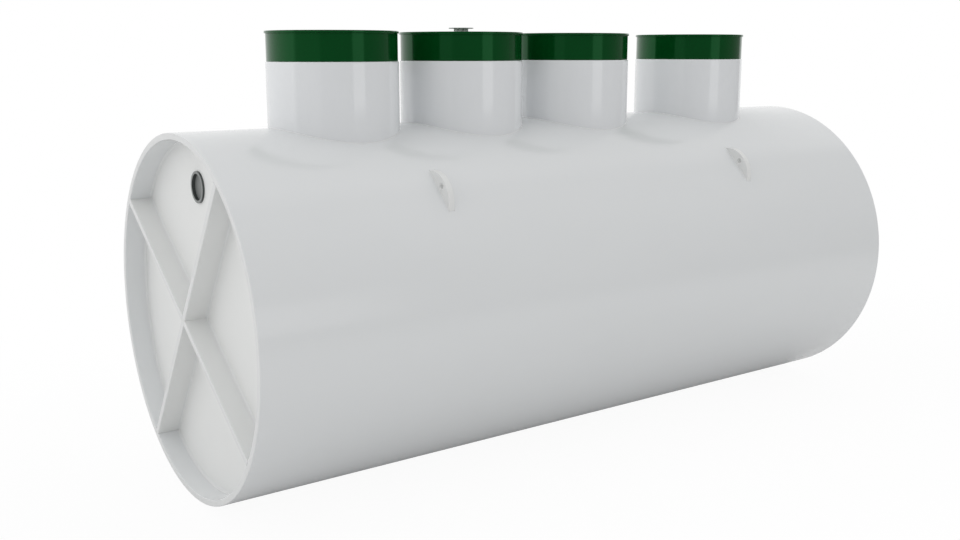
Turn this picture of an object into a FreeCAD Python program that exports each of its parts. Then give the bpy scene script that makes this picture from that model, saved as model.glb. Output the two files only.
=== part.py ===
import FreeCAD, Part
import Sketcher
import os
import re

# A packaged sewage treatment plant: a horizontal plastic tank with four access necks on its crown.
# The origin is the middle of the tank's lowest line. +X runs along the tank from the inlet end to
# the outlet end, +Y to its far side and +Z up. Lengths are in millimetres, angles in degrees.

SIZES = {
    # The tank: a plain tube whose rims stand out beyond the recessed end plates.
    "shell_radius": 850.0,
    "shell_wall": 30.0,
    "shell_length": 4000.0,
    "end_recess": 108.0,
    "end_wall": 30.0,
    "rib_wall": 30.0,
    "rib_angle": 55.0,
    # The necks: pipes let into the crown. The shares say how the free length between the end
    # plates is dealt out to the five spaces beside the necks, from the inlet end on.
    "neck_radius": 315.0,
    "neck_wall": 20.0,
    "neck_rise": 305.0,
    "neck_edge": 6.0,
    "neck_reach": 20.0,
    "share_1": 344.5,
    "share_2": 109.5,
    "share_3": 103.0,
    "share_4": 290.0,
    "share_5": 357.0,
    "seam_strip": 60.0,
    # The collars and lids that close the necks.
    "collar_ledge": 4.5,
    "collar_height": 128.4,
    "spigot_wall": 12.0,
    "spigot_depth": 40.0,
    "lid_overhang": 6.0,
    "lid_wall": 12.0,
    "lid_edge": 3.0,
    "rim_wall": 10.0,
    "rim_depth": 20.0,
    # The vent through the second lid: a pipe with a ring of slots under a flat cap.
    "vent_radius": 37.0,
    "vent_wall": 4.0,
    "vent_stand": 19.0,
    "vent_reach": 25.0,
    "slot_width": 6.0,
    "slot_height": 8.0,
    "slot_sill": 6.0,
    "cap_radius": 63.0,
    "cap_wall": 4.0,
    "cap_edge": 1.2,
    "cap_plug": 4.0,
    # The pipe stubs of the two ends, each closed by a plug behind its mouth.
    "pipe_radius": 72.5,
    "pipe_wall": 12.4,
    "pipe_stand": 10.0,
    "barrel_step": 5.0,
    "pipe_reach": 50.0,
    "inlet_headroom": 143.5,
    "outlet_drop": 100.0,
    "plug_set": 15.0,
    "plug_wall": 12.0,
    # The lifting lugs: half-moon plates across the shoulders of the tank.
    "lug_place": 985.0,
    "lug_angle": 46.0,
    "lug_radius": 140.0,
    "lug_rise": 55.0,
    "lug_wall": 30.0,
    "lug_hole_radius": 13.0,
    "lug_hole_rise": 24.0,
    # Clearance between round pieces that seat in or on each other.
    "fit_gap": 0.3,
}

DERIVED = {
    "bore_radius": "shell_radius - shell_wall",
    "fitted_radius": "bore_radius - fit_gap",
    "half_length": "shell_length / 2",
    "plate_place": "half_length - end_recess",
    "inner_half": "plate_place - end_wall",
    "free_length": "2 * inner_half - 4 * 2 * neck_radius",
    "share_sum": "share_1 + share_2 + share_3 + share_4 + share_5",
    "neck_1_place": "neck_radius - inner_half + free_length * share_1 / share_sum",
    "neck_2_place": "neck_1_place + 2 * neck_radius + free_length * share_2 / share_sum",
    "neck_3_place": "neck_2_place + 2 * neck_radius + free_length * share_3 / share_sum",
    "neck_4_place": "neck_3_place + 2 * neck_radius + free_length * share_4 / share_sum",
    "neck_hole_radius": "neck_radius + fit_gap",
    "neck_bore": "neck_radius - neck_wall",
    "neck_foot": "shell_radius + sqrt(bore_radius^2 - neck_radius^2) - neck_reach",
    "neck_top": "2 * shell_radius + neck_rise",
    "neck_length": "neck_top - neck_foot",
    "seam_angle": "asin((neck_hole_radius + seam_strip) / bore_radius)",
    "wall_angle": "(360 deg - 2 * seam_angle) / 5",
    "spigot_radius": "neck_bore - fit_gap",
    "collar_bore": "spigot_radius - spigot_wall",
    "collar_radius": "neck_radius - collar_ledge",
    "collar_length": "spigot_depth + collar_height",
    "lid_place": "neck_top + collar_height",
    "lid_radius": "collar_radius + lid_overhang",
    "rim_radius": "collar_bore - fit_gap",
    "lid_length": "rim_depth + lid_wall",
    "vent_hole": "vent_radius + fit_gap",
    "vent_length": "vent_reach + lid_wall + vent_stand",
    "vent_bore": "vent_radius - vent_wall",
    "vent_top": "lid_place + lid_wall + vent_stand",
    "slot_foot": "vent_reach + lid_wall + slot_sill",
    "cap_plug_radius": "vent_bore - fit_gap",
    "cap_length": "cap_plug + cap_wall",
    "pipe_bore": "pipe_radius - pipe_wall",
    "barrel_radius": "pipe_radius - barrel_step",
    "barrel_hole": "barrel_radius + fit_gap",
    "pipe_length": "pipe_stand + end_wall + pipe_reach",
    "inlet_rise": "bore_radius - inlet_headroom - pipe_radius",
    "outlet_rise": "inlet_rise - outlet_drop",
    "mouth_place": "plate_place + pipe_stand",
    "plug_radius": "pipe_bore - fit_gap",
    "lug_centre": "shell_radius + lug_rise - lug_radius",
}

NECKS = ("1", "2", "3", "4")
VENTED_NECK = NECKS[1]
VENT_SLOTS = 9

# Where a new outline's corners stand before its dimensions pull them into place.
LOOSE_MIDDLE = FreeCAD.Vector(20, 20, 0)
LOOSE_REACH = FreeCAD.Vector(10, 0, 0)
SAME_PLACE = 0.01

AXIS_X = FreeCAD.Vector(1, 0, 0)
AXIS_Y = FreeCAD.Vector(0, 1, 0)
AXIS_Z = FreeCAD.Vector(0, 0, 1)

doc = FreeCAD.newDocument("sewage_plant")
sheet = doc.addObject("Spreadsheet::Sheet", "Sizes")
nodes = []


def fill_sheet():
    """Write every driving size as plain text, then the sizes worked out from them."""
    for row, (alias, number) in enumerate(SIZES.items(), start=1):
        sheet.set(f"A{row}", alias)
        sheet.set(f"B{row}", str(number))
        sheet.setAlias(f"B{row}", alias)
    for row, (alias, formula) in enumerate(DERIVED.items(), start=len(SIZES) + 1):
        sheet.set(f"A{row}", alias)
        sheet.set(f"B{row}", "=" + formula)
        sheet.setAlias(f"B{row}", alias)
    doc.recompute()


def read(alias):
    """Return a size of the sheet as a plain number."""
    cell = sheet.get(alias)
    return getattr(cell, "Value", cell)


def bind(item, **links):
    """Tie properties to formulas in the sheet's own words; a double underscore stands for a dot."""
    for path, formula in links.items():
        linked = re.sub(r"[a-z]\w+", lambda word: "Sizes." + word.group(), formula)
        item.setExpression(path.replace("__", "."), linked)


def bind_constraint(sketch, constraint, formula):
    """Add a dimension to a sketch and tie it to a formula."""
    number = sketch.addConstraint(constraint)
    bind(sketch, **{f"Constraints[{number}]": formula})


def turn(axis, angle):
    """Return a rotation about one axis."""
    return FreeCAD.Rotation(axis, angle)


def place(item, x, y, z, rotation):
    """Stand a piece at a point given by formulas, turned as a whole."""
    item.Placement = FreeCAD.Placement(FreeCAD.Vector(0, 0, 0), rotation)
    bind(item, Placement__Base__x=x, Placement__Base__y=y, Placement__Base__z=z)


def finish(item, label):
    """Name a finished piece and put it on the list of nodes."""
    item.Label = label
    nodes.append(item)
    return item


def new_sketch(body, plane_role, label):
    """Start a sketch on one of the body's own origin planes."""
    plane = next(face for face in body.Origin.OriginFeatures if face.Role == plane_role)
    sketch = body.newObject("Sketcher::SketchObject", label)
    sketch.AttachmentSupport = [(plane, "")]
    sketch.MapMode = "FlatFace"
    return sketch


def turned_body(label, corners):
    """Turn a closed outline of (radius, height) formulas about the body's own Z axis."""
    body = doc.addObject("PartDesign::Body", label)
    outline = new_sketch(body, "XZ_Plane", label + "_outline")
    count = len(corners)
    turns = [turn(AXIS_Z, 360 * index / count) for index in range(count)]
    starts = [LOOSE_MIDDLE + each.multVec(LOOSE_REACH) for each in turns]
    for index, start in enumerate(starts):
        outline.addGeometry(Part.LineSegment(start, starts[(index + 1) % count]))
    for index, (radius, height) in enumerate(corners):
        outline.addConstraint(Sketcher.Constraint("Coincident", index, 2, (index + 1) % count, 1))
        across = Sketcher.Constraint("DistanceX", index, 1, starts[index].x)
        bind_constraint(outline, across, radius)
        upward = Sketcher.Constraint("DistanceY", index, 1, starts[index].y)
        bind_constraint(outline, upward, height)
    turning = body.newObject("PartDesign::Revolution", label + "_turning")
    turning.Profile = outline
    turning.ReferenceAxis = (outline, ["V_Axis"])
    turning.Angle = 360
    doc.recompute()
    return body


def round_rim(body, radius_alias, height_alias, edge_alias):
    """Round the circular edge that lies at the given radius and height of a turned body."""
    solid = body.Tip
    names = []
    for number, edge in enumerate(solid.Shape.Edges, start=1):
        circle = edge.Curve
        if not isinstance(circle, Part.Circle):
            continue
        wide = abs(circle.Radius - read(radius_alias)) < SAME_PLACE
        high = abs(circle.Center.z - read(height_alias)) < SAME_PLACE
        if wide and high:
            names.append(f"Edge{number}")
    rounding = body.newObject("PartDesign::Fillet", body.Name + "_rounding")
    rounding.Base = (solid, names)
    bind(rounding, Radius=edge_alias)
    doc.recompute()


def cylinder(name, radius, height):
    """Make a plain cylinder on its own Z axis."""
    item = doc.addObject("Part::Cylinder", name)
    bind(item, Radius=radius, Height=height)
    return item


def cut(name, base, tool):
    """Take one shape away from another."""
    item = doc.addObject("Part::Cut", name)
    item.Base = base
    item.Tool = tool
    return item


def wall_segment(name, start_angle, angle, from_place, length):
    """Make a stretch of the tank's wall; angles run from the lowest line towards the far side."""
    outside = cylinder(name + "_outside", "shell_radius", length)
    bind(outside, Angle=angle)
    outside.Placement = FreeCAD.Placement(FreeCAD.Vector(0, 0, 0), turn(AXIS_Z, start_angle))
    inside = cylinder(name + "_inside", "bore_radius", length)
    wall = cut(name, outside, inside)
    place(wall, from_place, "0", "shell_radius", turn(AXIS_Y, 90))
    return wall


def build_shell():
    """Make the wall: five long segments, and a crown in stretches that part at the necks."""
    wall_angle = read("wall_angle")
    names = ("near_upper", "near_lower", "bottom", "far_lower", "far_upper")
    for step, name in enumerate(names, start=-2):
        start_angle = (step - 0.5) * wall_angle
        segment = wall_segment(f"shell_{name}", start_angle, "wall_angle", "-half_length", "shell_length")
        finish(segment, f"shell_{name}")

    holes = {}
    for neck in NECKS:
        hole = cylinder(f"neck_hole_{neck}", "neck_hole_radius", "neck_top")
        place(hole, f"neck_{neck}_place", "0", "shell_radius", turn(AXIS_Z, 0))
        holes[neck] = hole
    joints = ["-half_length"] + [f"neck_{neck}_place" for neck in NECKS] + ["half_length"]
    for stretch, (start, end) in enumerate(zip(joints, joints[1:]), start=1):
        label = f"shell_crown_{stretch}"
        length = f"{end} - ({start})"
        crown = wall_segment(label + "_plain", 180 - read("seam_angle"), "2 * seam_angle", start, length)
        for neck, hole in holes.items():
            if f"neck_{neck}_place" in (start, end):
                crown = cut(f"{label}_open_{neck}", crown, hole)
        finish(crown, label)


def rib(label, from_place, rotation, end_place):
    """Make a stiffening plate that stands on the end plate, reaching out to the tank's wall."""
    slab = doc.addObject("Part::Box", label + "_slab")
    bind(slab, Length="end_recess", Width=f"bore_radius - ({from_place})", Height="rib_wall")
    bind(slab, Placement__Base__y=from_place, Placement__Base__z="-rib_wall / 2")
    limit = cylinder(label + "_limit", "fitted_radius", "end_recess")
    limit.Placement = FreeCAD.Placement(FreeCAD.Vector(0, 0, 0), turn(AXIS_Y, 90))
    plate = doc.addObject("Part::Common", label)
    plate.Base = slab
    plate.Tool = limit
    place(plate, end_place, "0", "shell_radius", rotation)
    finish(plate, label)


def build_end(end, facing, side, rise):
    """Make one end: the plate with its pipe hole, the cross of ribs, the stub and its plug.

    The end is drawn looking inwards, and facing turns it to its side of the tank.
    """
    body = doc.addObject("PartDesign::Body", f"{end}_end_plate")
    outline = new_sketch(body, "YZ_Plane", f"{end}_end_outline")
    outline.addGeometry(Part.Circle(FreeCAD.Vector(0, 0, 0), AXIS_Z, read("fitted_radius")))
    outline.addConstraint(Sketcher.Constraint("Coincident", 0, 3, -1, 1))
    bind_constraint(outline, Sketcher.Constraint("Radius", 0, read("fitted_radius")), "fitted_radius")
    hole_centre = FreeCAD.Vector(0, read(rise), 0)
    outline.addGeometry(Part.Circle(hole_centre, AXIS_Z, read("barrel_hole")))
    outline.addConstraint(Sketcher.Constraint("PointOnObject", 1, 3, -2))
    bind_constraint(outline, Sketcher.Constraint("DistanceY", 1, 3, read(rise)), rise)
    bind_constraint(outline, Sketcher.Constraint("Radius", 1, read("barrel_hole")), "barrel_hole")
    plate = body.newObject("PartDesign::Pad", f"{end}_end_pad")
    plate.Profile = outline
    bind(plate, Length="end_wall")
    place(body, f"{side}plate_place", "0", "shell_radius", facing)
    finish(body, f"{end}_end_plate")

    rim_place = f"{side}half_length"
    lean = turn(AXIS_X, -read("rib_angle"))
    cross = (
        ("long_rib", "-bore_radius", 0),
        ("upper_rib", "rib_wall / 2", 90),
        ("lower_rib", "rib_wall / 2", -90),
    )
    for name, from_place, turn_on in cross:
        rib(f"{end}_{name}", from_place, facing * lean * turn(AXIS_X, turn_on), rim_place)

    stub = turned_body(f"{end}_stub", (
        ("pipe_bore", "0"),
        ("pipe_radius", "0"),
        ("pipe_radius", "pipe_stand"),
        ("barrel_radius", "pipe_stand"),
        ("barrel_radius", "pipe_length"),
        ("pipe_bore", "pipe_length"),
    ))
    inward = facing * turn(AXIS_Y, 90)
    height = f"shell_radius + {rise}"
    place(stub, f"{side}mouth_place", "0", height, inward)
    finish(stub, f"{end}_stub")

    plug = turned_body(f"{end}_plug", (
        ("0", "0"),
        ("plug_radius", "0"),
        ("plug_radius", "plug_wall"),
        ("0", "plug_wall"),
    ))
    sink = "-" if side == "" else "+"
    place(plug, f"{side}mouth_place {sink} plug_set", "0", height, inward)
    finish(plug, f"{end}_plug")


def build_neck(neck):
    """Make one neck pipe, the collar whose spigot drops into it, and the lid on top."""
    x_place = f"neck_{neck}_place"
    upright = turn(AXIS_Z, 0)
    pipe = turned_body(f"neck_{neck}", (
        ("neck_bore", "0"),
        ("neck_radius", "0"),
        ("neck_radius", "neck_length"),
        ("neck_bore", "neck_length"),
    ))
    round_rim(pipe, "neck_radius", "neck_length", "neck_edge")
    place(pipe, x_place, "0", "neck_foot", upright)
    finish(pipe, f"neck_{neck}")

    collar = turned_body(f"collar_{neck}", (
        ("collar_bore", "0"),
        ("spigot_radius", "0"),
        ("spigot_radius", "spigot_depth"),
        ("collar_radius", "spigot_depth"),
        ("collar_radius", "collar_length"),
        ("collar_bore", "collar_length"),
    ))
    place(collar, x_place, "0", "neck_top - spigot_depth", upright)
    finish(collar, f"collar_{neck}")

    lid_middle = "vent_hole" if neck == VENTED_NECK else "0"
    lid = turned_body(f"lid_{neck}", (
        (lid_middle, "rim_depth"),
        ("rim_radius - rim_wall", "rim_depth"),
        ("rim_radius - rim_wall", "0"),
        ("rim_radius", "0"),
        ("rim_radius", "rim_depth"),
        ("lid_radius", "rim_depth"),
        ("lid_radius", "lid_length"),
        (lid_middle, "lid_length"),
    ))
    round_rim(lid, "lid_radius", "lid_length", "lid_edge")
    place(lid, x_place, "0", "lid_place - rim_depth", upright)
    finish(lid, f"lid_{neck}")


def cut_vent_slots(body):
    """Cut one slot through the pipe's wall and repeat it round the pipe."""
    tube = body.Tip
    outline = new_sketch(body, "XZ_Plane", "vent_slot_outline")
    left, right = -read("slot_width") / 2, read("slot_width") / 2
    low, high = read("slot_foot"), read("slot_foot") + read("slot_height")
    corners = [FreeCAD.Vector(x, y, 0) for x, y in ((left, low), (right, low), (right, high), (left, high))]
    count = len(corners)
    for index, corner in enumerate(corners):
        outline.addGeometry(Part.LineSegment(corner, corners[(index + 1) % count]))
    for index in range(count):
        outline.addConstraint(Sketcher.Constraint("Coincident", index, 2, (index + 1) % count, 1))
    # Symmetry about the upright axis also levels the sill, so only three sides are told their direction.
    outline.addConstraint(Sketcher.Constraint("Symmetric", 0, 1, 0, 2, -2))
    for index, direction in ((1, "Vertical"), (2, "Horizontal"), (3, "Vertical")):
        outline.addConstraint(Sketcher.Constraint(direction, index))
    bind_constraint(outline, Sketcher.Constraint("DistanceX", 0, 1, 0, 2, right - left), "slot_width")
    bind_constraint(outline, Sketcher.Constraint("DistanceY", 1, 1, 1, 2, high - low), "slot_height")
    bind_constraint(outline, Sketcher.Constraint("DistanceY", 0, 1, low), "slot_foot")
    slot = body.newObject("PartDesign::Pocket", "vent_slot")
    slot.Profile = outline
    slot.Type = "Length"
    bind(slot, Length="vent_radius + vent_wall")
    doc.recompute()
    if slot.Shape.Volume >= tube.Shape.Volume:
        raise RuntimeError("the vent slot cuts nothing")
    ring = body.newObject("PartDesign::PolarPattern", "vent_slots")
    ring.Originals = [slot]
    ring.Axis = (outline, ["V_Axis"])
    ring.Angle = 360
    ring.Occurrences = VENT_SLOTS
    body.Tip = ring
    doc.recompute()


def build_vent():
    """Make the vent: a slotted pipe through the middle of its lid, and a flat cap plugged into it."""
    x_place = f"neck_{VENTED_NECK}_place"
    upright = turn(AXIS_Z, 0)
    pipe = turned_body("vent_pipe", (
        ("vent_bore", "0"),
        ("vent_radius", "0"),
        ("vent_radius", "vent_length"),
        ("vent_bore", "vent_length"),
    ))
    cut_vent_slots(pipe)
    place(pipe, x_place, "0", "vent_top - vent_length", upright)
    finish(pipe, "vent_pipe")

    cap = turned_body("vent_cap", (
        ("0", "0"),
        ("cap_plug_radius", "0"),
        ("cap_plug_radius", "cap_plug"),
        ("cap_radius", "cap_plug"),
        ("cap_radius", "cap_length"),
        ("0", "cap_length"),
    ))
    round_rim(cap, "cap_radius", "cap_length", "cap_edge")
    place(cap, x_place, "0", "vent_top - cap_plug", upright)
    finish(cap, "vent_cap")


def build_lugs():
    """Make the four lugs: discs cut off along the tank's surface, each with a shackle hole."""
    for end, side in (("inlet", "-"), ("outlet", "")):
        for flank, lean in (("near", 1), ("far", -1)):
            label = f"lug_{end}_{flank}"
            sideways = turn(AXIS_Y, 90)
            disc = cylinder(label + "_disc", "lug_radius", "lug_wall")
            place(disc, "-lug_wall / 2", "0", "lug_centre", sideways)
            tank = cylinder(label + "_tank", "shell_radius + fit_gap", "lug_wall")
            place(tank, "-lug_wall / 2", "0", "0", sideways)
            hole = cylinder(label + "_hole", "lug_hole_radius", "lug_wall")
            place(hole, "-lug_wall / 2", "0", "shell_radius + lug_hole_rise", sideways)
            moon = cut(label + "_moon", disc, tank)
            lug = cut(label, moon, hole)
            place(lug, f"{side}lug_place", "0", "shell_radius", turn(AXIS_X, lean * read("lug_angle")))
            finish(lug, label)


def check_and_write():
    """Stop at any failed object or shape, then write each piece to its own file."""
    doc.recompute()
    for item in doc.Objects:
        if "Invalid" in item.State or "Error" in item.State:
            raise RuntimeError(f"{item.Label} failed: {item.State}")
    for item in nodes:
        if item.Shape.isNull() or not item.Shape.isValid() or len(item.Shape.Solids) != 1:
            raise RuntimeError(f"{item.Label} is not one valid solid")
    os.makedirs("parts", exist_ok=True)
    for item in nodes:
        item.Shape.exportStep(f"parts/{item.Label}.step")


fill_sheet()
build_shell()
build_end("inlet", turn(AXIS_Z, 0), "-", "inlet_rise")
build_end("outlet", turn(AXIS_Z, 180), "", "outlet_rise")
for neck_number in NECKS:
    build_neck(neck_number)
build_vent()
build_lugs()
check_and_write()
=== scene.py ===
"""Looks of a packaged sewage treatment plant: a white plastic tank with four green-topped necks.

Lengths are in metres in the part's own frame: X along the tank from the inlet end to the outlet
end, Y to its far side, Z up, and the origin under the middle of the tank.
"""
import logging
import math
from dataclasses import dataclass
from enum import Enum

import bmesh
import bpy
import numpy as np
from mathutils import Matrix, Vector


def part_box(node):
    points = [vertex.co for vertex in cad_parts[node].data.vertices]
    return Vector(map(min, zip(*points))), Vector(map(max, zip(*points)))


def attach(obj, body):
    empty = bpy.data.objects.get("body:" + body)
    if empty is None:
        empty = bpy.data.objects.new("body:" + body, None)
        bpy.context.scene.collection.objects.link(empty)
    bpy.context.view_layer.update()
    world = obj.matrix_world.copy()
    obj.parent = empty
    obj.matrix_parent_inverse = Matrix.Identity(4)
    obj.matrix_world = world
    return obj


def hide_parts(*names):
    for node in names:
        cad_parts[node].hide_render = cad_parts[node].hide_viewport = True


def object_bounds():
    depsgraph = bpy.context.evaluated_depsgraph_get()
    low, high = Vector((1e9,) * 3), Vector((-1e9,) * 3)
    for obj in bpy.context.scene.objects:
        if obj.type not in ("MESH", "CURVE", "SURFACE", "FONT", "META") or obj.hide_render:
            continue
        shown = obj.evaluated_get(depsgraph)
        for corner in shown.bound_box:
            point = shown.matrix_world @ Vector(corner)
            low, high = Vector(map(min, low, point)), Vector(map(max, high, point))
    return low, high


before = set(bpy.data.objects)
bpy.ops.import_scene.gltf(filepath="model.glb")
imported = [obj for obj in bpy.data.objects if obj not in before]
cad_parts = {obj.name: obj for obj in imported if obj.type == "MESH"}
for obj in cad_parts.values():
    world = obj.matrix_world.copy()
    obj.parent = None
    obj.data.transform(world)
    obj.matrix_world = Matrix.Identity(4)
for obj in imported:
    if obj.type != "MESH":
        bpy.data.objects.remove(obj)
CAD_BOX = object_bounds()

MM = 0.001
BODY = "root"
NECK_NUMBERS = (1, 2, 3, 4)
VENTED_NECK = 2

# Points closer than this are merged, and edges that turn by more than this angle stay sharp.
WELD_DISTANCE = 1e-6
SHARP_ANGLE = math.radians(40)

# Points on a rounded corner, and faces round a full circle.
CORNER_STEPS = 5
ROUND_STEPS = 128

# How far the back of a weld bead lies inside the walls, as a share of its leg.
BEAD_SINK = 0.2

# The least cosine between X and the normal of a sawn face: on flat ends, which are painted a shade
# greyer as painted shade, and on the mouth of a pipe, whose rounded edges are sawn too and which is
# painted paler as a painted highlight.
FLAT_FACING = 0.7
MOUTH_FACING = 0.3

# Octaves of the noise in a plastic's clouds, slow waves and grain, and the values of the clouds at
# which the roughness is lowest and highest.
CLOUD_DETAIL, SWAY_DETAIL, GRAIN_DETAIL = 3, 1, 2
GLOSS_FROM, GLOSS_TO = 0.3, 0.7

# A mix node has sockets of the same name for numbers and for colours, so they go by their places.
FACTOR, NUMBER_A, NUMBER_B, COLOUR_A, COLOUR_B = 0, 2, 3, 6, 7
NUMBER_OUT, COLOUR_OUT = 0, 2

log = logging.getLogger("sewage_plant")


class End(Enum):
    """The two ends of the tank, by the way they face along X."""

    INLET = -1
    OUTLET = 1

    @property
    def word(self) -> str:
        """Return the word that the end's nodes start with."""
        return self.name.lower()


class Flank(Enum):
    """The two flanks of the tank, by their side of the XZ plane."""

    NEAR = -1
    FAR = 1


class TurnAxis(Enum):
    """The axis that a turned piece is turned about, as its height direction."""

    UP = (0, 0, 1)
    FORWARD = (1, 0, 0)
    BACKWARD = (-1, 0, 0)


@dataclass(frozen=True)
class Surface:
    """Points and four-cornered faces of one or more grids.

    Args:
        points: Rows of x, y and z.
        faces: Rows of four point numbers.
    """

    points: np.ndarray
    faces: np.ndarray

    def __add__(self, other: "Surface") -> "Surface":
        """Return both surfaces as one."""
        faces = np.concatenate((self.faces, other.faces + len(self.points)))
        return Surface(np.concatenate((self.points, other.points)), faces)


def joined(*parts: np.ndarray | float) -> np.ndarray:
    """Return coordinates as points, with those of one point along the last axis."""
    return np.stack(np.broadcast_arrays(*parts), axis=-1)


def grid(points: np.ndarray, keep: np.ndarray | None = None) -> Surface:
    """Join a grid of points, each cell spanning two neighbouring rows and columns.

    Args:
        points: An array of rows x columns x 3.
        keep: Which cells get a face, rows - 1 by columns - 1; all of them by default.

    Returns:
        The surface.
    """
    rows, columns = points.shape[:2]
    number = np.arange(rows * columns).reshape(rows, columns)
    cells = joined(number[:-1, :-1], number[:-1, 1:], number[1:, 1:], number[1:, :-1])
    faces = cells.reshape(-1, 4) if keep is None else cells[keep]
    return Surface(points.reshape(-1, 3), faces)


def closed(loop: np.ndarray) -> np.ndarray:
    """Return a loop of points with its first point repeated at the end."""
    return np.concatenate((loop, loop[:1]))


def unit(vectors: np.ndarray) -> np.ndarray:
    """Return vectors scaled to a length of one."""
    return vectors / np.linalg.norm(vectors, axis=-1, keepdims=True)


def rounded(corners: list[tuple[float, float, float]]) -> np.ndarray:
    """Round the corners of a closed outline.

    An arc of radius r touches both sides of a corner at r / tan(half the corner's angle) from it,
    and its centre lies on the bisector at r / sin(half the angle).

    Args:
        corners: Rows of (first coordinate, second coordinate, radius of the rounding).

    Returns:
        The points of the outline, the same number for each corner.
    """
    table = np.array(corners, float)
    place, radius = table[:, :2], table[:, 2, None]
    before = unit(np.roll(place, 1, axis=0) - place)
    after = unit(np.roll(place, -1, axis=0) - place)
    half = np.arccos(np.sum(before * after, axis=1, keepdims=True)) / 2
    centre = place + unit(before + after) * radius / np.sin(half)
    start = place + before * radius / np.tan(half) - centre
    end = place + after * radius / np.tan(half) - centre
    first = np.arctan2(start[:, 1], start[:, 0])
    swing = np.arctan2(end[:, 1], end[:, 0]) - first
    swing = (swing + np.pi) % (2 * np.pi) - np.pi
    angle = first[:, None] + swing[:, None] * np.linspace(0, 1, CORNER_STEPS)
    arc = joined(np.cos(angle), np.sin(angle))
    return (centre[:, None] + radius[:, None] * arc).reshape(-1, 2)


def turned(outline: np.ndarray, centre: np.ndarray, axis: TurnAxis) -> Surface:
    """Turn an outline about an axis: each point becomes a circle of its radius at its height.

    Args:
        outline: Rows of (radius, height), with the first repeated at the end where it is a loop.
        centre: Where height 0 lies on the axis.
        axis: The direction in which heights grow.

    Returns:
        The turned surface.
    """
    along = np.array(axis.value, float)
    first = np.array((0.0, 1.0, 0.0)) if along[0] else np.array((1.0, 0.0, 0.0))
    second = np.cross(along, first)
    angle = np.linspace(0, 2 * np.pi, ROUND_STEPS + 1)[None, :, None]
    radius, height = outline[:, 0, None, None], outline[:, 1, None, None]
    return grid(centre + height * along + radius * (np.cos(angle) * first + np.sin(angle) * second))


def cap(loop: np.ndarray, middle: np.ndarray) -> Surface:
    """Close a loop of points with triangles that meet at a middle point."""
    return grid(np.stack((loop, np.broadcast_to(middle, loop.shape))))


def bead(path: np.ndarray, up: np.ndarray, out: np.ndarray, leg: float) -> Surface:
    """Run a hollow weld bead along an inner corner.

    Its section is a quarter circle that touches both walls one leg from the corner, closed behind
    by two sides that lie a little inside the walls. Where the path isn't a loop, each end is closed
    by triangles that meet in the corner.

    Args:
        path: The corner's points in order.
        up: The direction up the first wall, for each point or for all.
        out: The direction out along the second wall, likewise.
        leg: How far the bead reaches along each wall.

    Returns:
        The closed bead.
    """
    angle = np.linspace(0, np.pi / 2, CORNER_STEPS)
    hollow = joined(1 - np.sin(angle), 1 - np.cos(angle))
    back = np.array(((-BEAD_SINK, 1), (-BEAD_SINK, -BEAD_SINK), (1, -BEAD_SINK)))
    section = leg * closed(np.concatenate((hollow, back)))
    points = path + section[:, 0, None, None] * up + section[:, 1, None, None] * out
    strip = grid(points)
    if np.allclose(path[0], path[-1]):
        return strip
    return strip + cap(points[:, 0], path[0]) + cap(points[:, -1], path[-1])


def half_width(node: str) -> float:
    """Return half of what a node measures along Y."""
    low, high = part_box(node)
    return (high.y - low.y) / 2


def top_of(node: str) -> float:
    """Return the height of a node's highest point."""
    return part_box(node)[1].z


def linear(code: str) -> tuple[float, float, float, float]:
    """Turn an sRGB colour into linear values with full alpha, by the sRGB standard's curve.

    Args:
        code: The colour as a hex code.

    Returns:
        Red, green, blue and alpha.
    """
    share = np.array([int(code[i:i + 2], 16) for i in (1, 3, 5)]) / 255
    value = np.where(share <= 0.04045, share / 12.92, ((share + 0.055) / 1.055) ** 2.4)
    return (*value.tolist(), 1.0)


def per_metre(size_mm: float) -> float:
    """Return the texture scale at which a feature is this many millimetres wide."""
    return 1 / (size_mm * MM)


def add_node(tree: bpy.types.NodeTree, kind: str, settings: dict, links: dict) -> bpy.types.Node:
    """Add a node to a tree.

    Args:
        tree: The material's or world's node tree.
        kind: The node's type, without the prefix that all of them share.
        settings: Values for the node's sockets, by name or number, or else for its properties.
        links: Output sockets to join to the node's inputs, by the input's name or number.

    Returns:
        The new node.
    """
    node = tree.nodes.new(f"ShaderNode{kind}")
    for name, value in settings.items():
        if isinstance(name, int) or name in node.inputs:
            node.inputs[name].default_value = value
        else:
            setattr(node, name, value)
    for name, output in links.items():
        tree.links.new(output, node.inputs[name])
    return node


WHITE = linear("#FFFFFF")


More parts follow.
